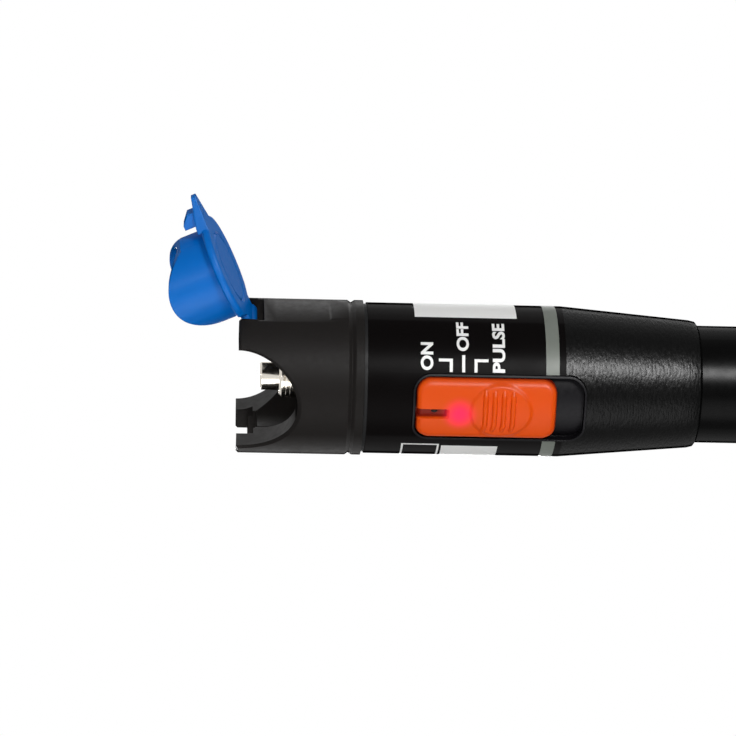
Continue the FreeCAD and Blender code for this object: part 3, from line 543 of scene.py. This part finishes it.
def hole_shade_blob():
    """Dark blob in the side of the light slot: painted shade in place of the dark inside of a
    hole.
    """
    bm = bmesh.new()
    bmesh.ops.create_uvsphere(bm, u_segments=20, v_segments=12, radius=1.0)
    middle = on_button(HOLE_ACROSS, SLIDER_R - HOLE_SUNK, BUTTON_FRONT - HOLE_BEHIND_FRONT)
    for vertex in bm.verts:
        along, across, out = vertex.co
        vertex.co = middle + Vector((across * HOLE_HALF_W, out * HOLE_HALF_W,
                                     along * HOLE_HALF_LEN))
    bmesh.ops.recalc_face_normals(bm, faces=bm.faces)
    smooth_by_angle(bm, degrees=60)
    piece("hole_shade_blob", mesh_from(bm, "hole_shade_blob"), INNER, "slider")


hole_shade_blob()


# Ridges on the thumb pad

RIDGE_COUNT = 4
RIDGE_PITCH = 1.52 * MM
RIDGE_R = 0.46 * MM
RIDGE_SHIFT = 0.3 * MM
RIDGE_HALF_W = 3.95 * MM
RIDGE_BED = 0.06 * MM
RIDGE_SPANS = 28
RIDGE_SIDES = 14
# The ends sink in from this share of the half width, and one end leans forward
RIDGE_SINK = 0.42 * MM
RIDGE_SINK_FROM = 0.72
RIDGE_LEAN = 0.35 * MM
RIDGE_LEAN_FROM = 0.55


def ridge_tree(name, look):
    """Geometry Nodes: one ridge, repeated along a line with an even pitch."""
    tree = bpy.data.node_groups.new(name, "GeometryNodeTree")
    sockets = {}
    for label, kind in (("Geometry", "NodeSocketGeometry"), ("Count", "NodeSocketInt"),
                        ("Pitch", "NodeSocketFloat")):
        socket = tree.interface.new_socket(label, in_out="INPUT", socket_type=kind)
        sockets[label] = socket.identifier
    tree.interface.new_socket("Geometry", in_out="OUTPUT", socket_type="NodeSocketGeometry")
    nodes, links = tree.nodes, tree.links
    given, result = nodes.new("NodeGroupInput"), nodes.new("NodeGroupOutput")
    step = nodes.new("ShaderNodeCombineXYZ")
    links.new(given.outputs["Pitch"], step.inputs["Z"])
    line = nodes.new("GeometryNodeMeshLine")
    links.new(given.outputs["Count"], line.inputs["Count"])
    links.new(step.outputs["Vector"], line.inputs["Offset"])
    repeat = nodes.new("GeometryNodeInstanceOnPoints")
    links.new(line.outputs["Mesh"], repeat.inputs["Points"])
    links.new(given.outputs["Geometry"], repeat.inputs["Instance"])
    real = nodes.new("GeometryNodeRealizeInstances")
    links.new(repeat.outputs["Instances"], real.inputs["Geometry"])
    paint = nodes.new("GeometryNodeSetMaterial")
    paint.inputs["Material"].default_value = look
    links.new(real.outputs["Geometry"], paint.inputs["Geometry"])
    links.new(paint.outputs["Geometry"], result.inputs["Geometry"])
    return tree, sockets


def as_shown(thing):
    """Plain mesh of a thing with its modifiers or its text settled."""
    bpy.context.view_layer.update()
    shown = thing.evaluated_get(bpy.context.evaluated_depsgraph_get())
    return bpy.data.meshes.new_from_object(shown)


def settled(thing, tree, sockets, values):
    """Plain mesh of a thing after its node tree has run with these input values."""
    modifier = thing.modifiers.new(tree.name, "NODES")
    modifier.node_group = tree
    for label, value in values.items():
        modifier[sockets[label]] = value
    mesh = as_shown(thing)
    thing.modifiers.remove(modifier)
    return mesh


def one_ridge(z):
    """Rounded bar across the pad that follows its curve and sinks in at its ends."""
    bm = bmesh.new()
    rings = []
    for k in range(RIDGE_SPANS + 1):
        share = 2 * k / RIDGE_SPANS - 1
        across = RIDGE_HALF_W * share
        sink = RIDGE_SINK * eased(abs(share), RIDGE_SINK_FROM, 1.0)
        lean = RIDGE_LEAN * eased(-share, RIDGE_LEAN_FROM, 1.0)
        centre_r = SLIDER_R + PAD_RISE - RIDGE_BED - sink
        ring = []
        for s in range(RIDGE_SIDES):
            angle = 2 * math.pi * s / RIDGE_SIDES
            ring.append(bm.verts.new(on_button(across, centre_r + RIDGE_R * math.cos(angle),
                                               z + lean + RIDGE_R * math.sin(angle))))
        rings.append(ring)
    for first, second in zip(rings, rings[1:]):
        for s in range(RIDGE_SIDES):
            t = (s + 1) % RIDGE_SIDES
            bm.faces.new([first[s], first[t], second[t], second[s]])
    bm.faces.new(rings[0])
    bm.faces.new(rings[-1])
    bmesh.ops.recalc_face_normals(bm, faces=bm.faces)
    smooth_by_angle(bm, degrees=50)
    return mesh_from(bm, "thumb_ridge")


def thumb_ridges():
    low = BUTTON_FRONT - PAD_MIDDLE + RIDGE_SHIFT - RIDGE_PITCH * (RIDGE_COUNT - 1) / 2
    maker = linked("ridge_maker", one_ridge(low))
    tree, sockets = ridge_tree("thumb_ridges", BUTTON)
    mesh = settled(maker, tree, sockets, {"Count": RIDGE_COUNT, "Pitch": RIDGE_PITCH})
    bpy.data.objects.remove(maker)
    piece("thumb_ridges", mesh, BUTTON, "slider")


thumb_ridges()


# Print on the label

PRINT_RAISE = 0.02 * MM
PRINT_SINK = 0.03 * MM
FIELD_STEP_DEG = 2


def wrapped(bm, name, look):
    """Flat print with X as its turn, Y as its height and Z out, wrapped on the label."""
    for vertex in bm.verts:
        turn, z, out = vertex.co
        vertex.co = on_pen(LABEL_R + out, turn, z)
    bmesh.ops.recalc_face_normals(bm, faces=bm.faces)
    smooth_by_angle(bm, degrees=30)
    piece(name, mesh_from(bm, name), look, "housing")


def print_field(bm, turn_from, turn_to, depth_from, depth_to):
    """Thin closed plate of print between these turns and depths."""
    steps = max(2, round(abs(turn_to - turn_from) / FIELD_STEP_DEG))
    rows = []
    for k in range(steps + 1):
        turn = turn_from + (turn_to - turn_from) * k / steps
        rows.append([bm.verts.new((turn, at_depth(depth), out))
                     for depth in (depth_from, depth_to) for out in (-PRINT_SINK, PRINT_RAISE)])
    for (a, b, c, d), (e, f, g, h) in zip(rows, rows[1:]):
        for corners in ((b, f, h, d), (a, c, g, e), (a, e, f, b), (c, d, h, g)):
            bm.faces.new(corners)
    for a, b, c, d in (rows[0], rows[-1]):
        bm.faces.new((a, b, d, c))


def print_piece(name, look, fields):
    bm = bmesh.new()
    for field in fields:
        print_field(bm, *field)
    wrapped(bm, name, look)


def turn_of(length_mm):
    """Degrees round the label that this length covers."""
    return math.degrees(length_mm * MM / LABEL_R)


# Marks beside the switch: a line for its middle place, and a bracket before and behind
MARK_W = 0.5
MARK_DEPTH = 37.1
MARK_STEP = 2.05
MARK_TURN_TO = 84.6
MIDDLE_TURN_FROM = 71.5
BRACKET_TURN_FROM = 74.4
BRACKET_REACH = 2.05


def switch_marks():
    """The middle line, and brackets that lead out to the words for the two ends."""
    fields = [(MIDDLE_TURN_FROM, MARK_TURN_TO, MARK_DEPTH - MARK_W / 2, MARK_DEPTH + MARK_W / 2)]
    for way in (-1, 1):
        depth = MARK_DEPTH + way * MARK_STEP
        fields.append((BRACKET_TURN_FROM, MARK_TURN_TO, depth - MARK_W / 2, depth + MARK_W / 2))
        ends = sorted((depth + way * MARK_W / 2, depth + way * BRACKET_REACH))
        fields.append((BRACKET_TURN_FROM, BRACKET_TURN_FROM + turn_of(MARK_W), *ends))
    print_piece("switch_marks", WHITE, fields)


LETTER_WEIGHT = 0.036
LETTER_CURVE_STEPS = 4
LETTER_WELD_GAP = 1e-5
LETTER_LONG_EDGE = 0.18
LETTER_CUT_ROUNDS = 3


def flat_letters(text):
    """Closed letters one unit thick and about one unit tall, cut fine enough to be wrapped."""
    curve = bpy.data.curves.new(text, "FONT")
    curve.body = text
    curve.size = 1.0
    curve.extrude = 0.5
    curve.offset = LETTER_WEIGHT
    curve.resolution_u = LETTER_CURVE_STEPS
    maker = linked(text + "_maker", curve)
    mesh = as_shown(maker)
    bpy.data.objects.remove(maker)
    bm = bmesh.new()
    bm.from_mesh(mesh)
    bmesh.ops.remove_doubles(bm, verts=bm.verts, dist=LETTER_WELD_GAP)
    bmesh.ops.triangulate(bm, faces=bm.faces)
    for _ in range(LETTER_CUT_ROUNDS):
        long_edges = [edge for edge in bm.edges
                      if abs(edge.verts[0].co.x - edge.verts[1].co.x) > LETTER_LONG_EDGE]
        bmesh.ops.subdivide_edges(bm, edges=long_edges, cuts=1)
        bmesh.ops.triangulate(bm, faces=bm.faces)
    return bm


def word(text, start_turn, base_depth, height_mm, length_deg):
    """Word that reads up round the label, with its letters' tops towards the mouth."""
    bm = flat_letters(text)
    low_x, high_x = min(v.co.x for v in bm.verts), max(v.co.x for v in bm.verts)
    low_y, high_y = min(v.co.y for v in bm.verts), max(v.co.y for v in bm.verts)
    for vertex in bm.verts:
        x, y, z = vertex.co
        turn = start_turn - length_deg * (x - low_x) / (high_x - low_x)
        place = at_depth(base_depth) + height_mm * MM * (y - low_y) / (high_y - low_y)
        vertex.co = (turn, place, PRINT_RAISE if z > 0 else -PRINT_SINK)
    wrapped(bm, "word_" + text.lower(), WHITE)


# Fields, each from one turn to another and from one depth to another
TOP_PANEL = (-77.0, 35.8, 29.2, 46.2)
NOTE_PANEL = (150.6, 196.0, 34.1, 43.5)
NOTE_FRAME = (148.4, 196.0, 27.4, 33.7)
NOTE_LINE_W = 0.32
BAND_DEPTHS = (50.8, 53.0)
TRAY_HALF_W = 5.95 * MM


def frame_fields(turn_from, turn_to, depth_from, depth_to, line_w):
    """Four lines that border a field."""
    side = turn_of(line_w)
    return [(turn_from, turn_to, depth_from, depth_from + line_w),
            (turn_from, turn_to, depth_to - line_w, depth_to),
            (turn_from, turn_from + side, depth_from + line_w, depth_to - line_w),
            (turn_to - side, turn_to, depth_from + line_w, depth_to - line_w)]


def grey_band():
    """Band round the label that stops at each side of the switch's tray."""
    tray_turn = TOP_LINE_DEG + 90 - BUTTON_TURN_DEG
    tray_reach = math.degrees(math.asin(TRAY_HALF_W / LABEL_R))
    field = (tray_turn + tray_reach, 360 + tray_turn - tray_reach, *BAND_DEPTHS)
    print_piece("grey_band", GREY, [field])


switch_marks()
word("ON", start_turn=83.5, base_depth=32.1, height_mm=2.1, length_deg=22.0)
word("OFF", start_turn=68.3, base_depth=38.0, height_mm=2.05, length_deg=26.5)
word("PULSE", start_turn=84.4, base_depth=44.0, height_mm=2.1, length_deg=42.0)
print_piece("top_panel", WHITE, [TOP_PANEL])
print_piece("note_panel", WHITE, [NOTE_PANEL])
print_piece("note_frame", WHITE, frame_fields(*NOTE_FRAME, NOTE_LINE_W))
grey_band()


# Stage, light and camera

FLOOR_RADIUS = 0.18
FLOOR_SIDES = 96
FLOOR_DROP = 33 * MM
FLOOR_SHADE = 0.86
FLOOR_ROUGHNESS = 0.9
FLOOR_WHITENING = 0.6
WORLD_LIGHT = 0.18
WORLD_WHITE = 1.0


def either_of(nodes, links, first, second):
    """Value that is 1 where one of these is 1."""
    node = nodes.new("ShaderNodeMath")
    node.operation = "MAXIMUM"
    links.new(first, node.inputs[0])
    links.new(second, node.inputs[1])
    return node.outputs["Value"]


def pale_floor():
    """Matt floor that looks nearly white to the camera and still takes a soft shadow."""
    material = bpy.data.materials.new("pale_floor")
    material.use_nodes = True
    nodes, links = material.node_tree.nodes, material.node_tree.links
    matt = nodes["Principled BSDF"]
    matt.inputs["Base Color"].default_value = (FLOOR_SHADE, FLOOR_SHADE, FLOOR_SHADE, 1)
    matt.inputs["Roughness"].default_value = FLOOR_ROUGHNESS
    white = nodes.new("ShaderNodeEmission")
    path = nodes.new("ShaderNodeLightPath")
    share = nodes.new("ShaderNodeMapRange")
    share.inputs["To Max"].default_value = FLOOR_WHITENING
    links.new(path.outputs["Is Camera Ray"], share.inputs["Value"])
    blend = nodes.new("ShaderNodeMixShader")
    links.new(share.outputs["Result"], blend.inputs["Fac"])
    links.new(matt.outputs["BSDF"], blend.inputs[1])
    links.new(white.outputs["Emission"], blend.inputs[2])
    links.new(blend.outputs["Shader"], nodes["Material Output"].inputs["Surface"])
    return material


def round_floor():
    """Floor low enough for the tail cap to be drawn off above it."""
    bm = bmesh.new()
    bmesh.ops.create_circle(bm, cap_ends=True, radius=FLOOR_RADIUS, segments=FLOOR_SIDES)
    bmesh.ops.translate(bm, verts=bm.verts, vec=(0, 0, -FLOOR_DROP))
    floor = linked("floor", mesh_from(bm, "floor"))
    floor.data.materials.append(pale_floor())


def studio_world():
    """Even, weak light, with a white background for the camera and for shiny surfaces."""
    world = bpy.data.worlds.new("studio")
    world.use_nodes = True
    bpy.context.scene.world = world
    nodes, links = world.node_tree.nodes, world.node_tree.links
    background = nodes["Background"]
    background.inputs["Color"].default_value = (1, 1, 1, 1)
    path = nodes.new("ShaderNodeLightPath").outputs
    seen = either_of(nodes, links, path["Is Camera Ray"], path["Is Transmission Ray"])
    shown_white = either_of(nodes, links, seen, path["Is Glossy Ray"])
    level = nodes.new("ShaderNodeMapRange")
    level.inputs["To Min"].default_value = WORLD_LIGHT
    level.inputs["To Max"].default_value = WORLD_WHITE
    links.new(shown_white, level.inputs["Value"])
    links.new(level.outputs["Result"], background.inputs["Strength"])


# The camera looks at the pen from its side, with the mouth at the left and the top line up
LEFT_TO_RIGHT = Vector((0, 0, -1))
UP = Vector((math.cos(math.radians(TOP_LINE_DEG)), math.sin(math.radians(TOP_LINE_DEG)), 0))
CAMERA_DISTANCE = 0.57
CAMERA_FIELD = math.radians(12.4)
CAMERA_YAW = math.radians(3.0)
CAMERA_ROLL = math.radians(1.15)
CAMERA_DEPTH = 22.0
CAMERA_RISE = 1.6 * MM
SENSOR_WIDTH = 36.0
CLIP_START = 0.01
CLIP_END = 20
LIGHT_AIM = Vector((0, 0, RIM_Z / 2 + 30 * MM))
# Name, direction as right, up and back, distance, width and height, power, and whether the lamp
# only adds highlights
SOFT_LAMPS = (
    ("key", (0.25, 0.36, 0.9), 0.6, (0.13, 0.18), 1.7, False),
    ("strip", (0.29, 0.36, 0.9), 0.6, (0.2, 0.18), 16.0, True),
    ("table", (-0.1, -0.9, 0.75), 0.7, (0.7, 0.5), 5.0, True),
    ("left", (-0.39, 0.05, 0.92), 0.6, (0.14, 0.1), 0.8, False),
    ("top", (-0.15, 1.0, -0.25), 0.6, (0.6, 0.4), 0.2, False),
    ("low", (0.0, -1.0, 0.6), 0.7, (0.6, 0.4), 1.7, False),
    ("rear", (0.2, 0.3, -1.0), 0.7, (0.6, 0.5), 1.6, False),
    ("rear_strip", (-0.15, -0.1, -1.0), 0.6, (0.5, 0.12), 9.0, True),
)


def camera_axes():
    """Right, up and back of the camera in the pen's frame."""
    turn = Matrix.Rotation(-CAMERA_ROLL, 3, "Z") @ Matrix.Rotation(CAMERA_YAW, 3, "Y")
    pen = Matrix((LEFT_TO_RIGHT, UP, LEFT_TO_RIGHT.cross(UP))).transposed()
    return [pen @ Vector(row) for row in turn]


def side_camera():
    right, up, back = camera_axes()
    data = bpy.data.cameras.new("camera")
    data.sensor_width = SENSOR_WIDTH
    data.lens = data.sensor_width / 2 / math.tan(CAMERA_FIELD / 2)
    data.clip_start, data.clip_end = CLIP_START, CLIP_END
    camera = linked("camera", data)
    target = Vector((0, 0, at_depth(CAMERA_DEPTH))) + up * CAMERA_RISE
    axes = Matrix((right, up, back)).transposed().to_4x4()
    camera.matrix_world = Matrix.Translation(target + back * CAMERA_DISTANCE) @ axes
    bpy.context.scene.camera = camera


def soft_lamp(name, direction, distance, size, power, gloss_only):
    """Soft box that faces the pen from this direction in the camera's frame."""
    right, up, back = camera_axes()
    away = (right * direction[0] + up * direction[1] + back * direction[2]).normalized()
    data = bpy.data.lights.new(name, "AREA")
    data.shape = "RECTANGLE"
    data.size, data.size_y = size
    data.energy = power
    lamp = linked(name, data)
    lamp.visible_diffuse = not gloss_only
    side = (right - away * right.dot(away)).normalized()
    axes = Matrix((side, away.cross(side), away)).transposed().to_4x4()
    lamp.matrix_world = Matrix.Translation(LIGHT_AIM + away * distance) @ axes


round_floor()
studio_world()
side_camera()
for lamp_row in SOFT_LAMPS:
    soft_lamp(*lamp_row)

scene = bpy.context.scene
scene.view_settings.view_transform = "Standard"
